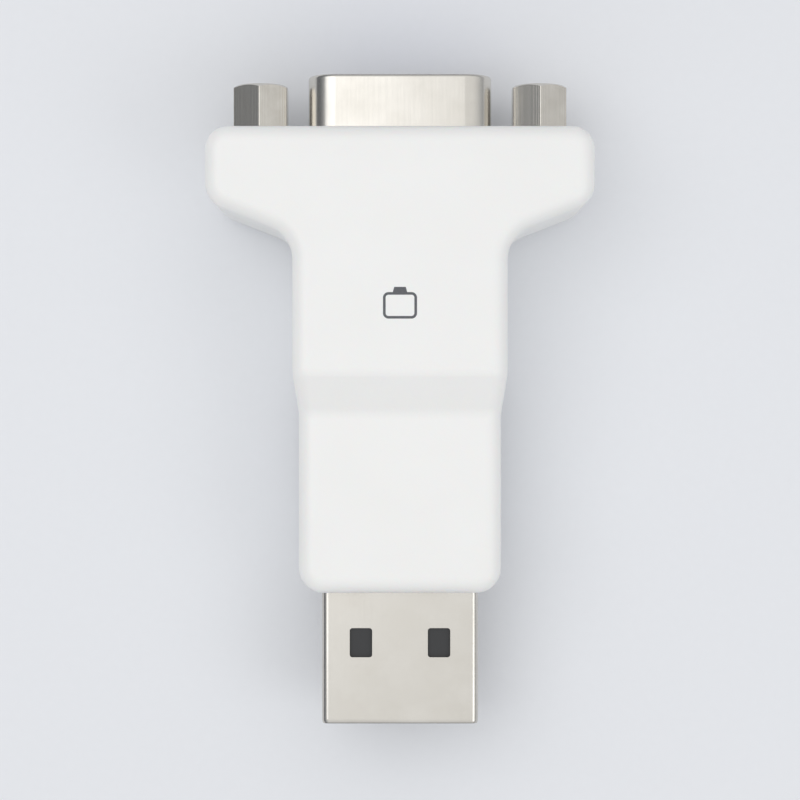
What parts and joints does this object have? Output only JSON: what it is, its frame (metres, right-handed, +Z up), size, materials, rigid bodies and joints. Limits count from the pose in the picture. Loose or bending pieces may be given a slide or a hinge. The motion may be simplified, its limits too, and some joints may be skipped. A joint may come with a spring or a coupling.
{
  "type": "hdmi to vga converter",
  "caption": "Compact white adapter: HDMI plug on a stepped nose, wider head with a 15-way D-sub socket and two jackscrews, circuit board inside.",
  "frame": {"origin": "centre of the part's box in plan, on the flat underside", "axes": "+Y out of the VGA socket, -Y out of the HDMI plug, +Z up through the top shell, +X to the right seen with the VGA socket away from the viewer"},
  "size_m": [0.034, 0.0576, 0.015],
  "materials": {
    "white_housing": "white moulded ABS, fine satin texture",
    "green_board": "green solder mask on glass-fibre board",
    "nickel_sheet": "nickel-plated steel sheet, satin",
    "nickel_screw": "nickel-plated turned brass",
    "steel_washer": "zinc-plated spring steel",
    "brass_insert": "turned brass",
    "gold_contact": "gold-flashed phosphor bronze",
    "blue_moulding": "blue moulded PBT",
    "black_moulding": "black moulded LCP",
    "chip_package": "black epoxy package",
    "crystal_can": "satin metal lid",
    "capacitor_ceramic": "fired ceramic with tinned ends",
    "ferrite_grey": "sintered ferrite"
  },
  "bodies": {
    "housing": {"top_shell": "white_housing", "bottom_shell": "white_housing", "circuit_board": "green_board", "hdmi_shell": "nickel_sheet", "hdmi_insulator": "black_moulding", "hdmi_upper_contacts": "gold_contact", "hdmi_lower_contacts": "gold_contact", "vga_front_shell": "nickel_sheet", "vga_rear_shell": "nickel_sheet", "vga_front_insulator": "blue_moulding", "vga_rear_insulator": "black_moulding", "vga_top_contacts": "gold_contact", "vga_middle_contacts": "gold_contact", "vga_bottom_contacts": "gold_contact", "left_threaded_insert": "brass_insert", "right_threaded_insert": "brass_insert", "converter_chip": "chip_package", "flash_chip": "chip_package", "crystal": "crystal_can", "voltage_regulator": "chip_package", "esd_arrays": "chip_package", "capacitors": "capacitor_ceramic", "resistors": "chip_package", "ferrite_beads": "ferrite_grey", "power_inductor": "ferrite_grey"},
    "left_washer": {"left_lock_washer": "steel_washer"},
    "left_screw": {"left_jackscrew": "nickel_screw"},
    "right_washer": {"right_lock_washer": "steel_washer"},
    "right_screw": {"right_jackscrew": "nickel_screw"}
  },
  "joints": [
    {"name": "left_screw_lift", "type": "slide", "parent": "housing", "child": "left_washer", "axis": [0, 1, 0], "range_m": [0, 0.00317]},
    {"name": "left_screw_turn", "type": "hinge", "parent": "left_washer", "child": "left_screw", "pos_m": [-0.01249, 0.0229, 0.0075], "axis": [0, 1, 0], "range_deg": [0, 1800]},
    {"name": "right_screw_lift", "type": "slide", "parent": "housing", "child": "right_washer", "axis": [0, 1, 0], "range_m": [0, 0.00317]},
    {"name": "right_screw_turn", "type": "hinge", "parent": "right_washer", "child": "right_screw", "pos_m": [0.01249, 0.0229, 0.0075], "axis": [0, 1, 0], "range_deg": [0, 1800]}
  ],
  "couplings": [
    {"joint": "left_screw_turn", "follows": "left_screw_lift", "rad_per_m": 9894.8},
    {"joint": "right_screw_turn", "follows": "right_screw_lift", "rad_per_m": 9894.8}
  ]
}
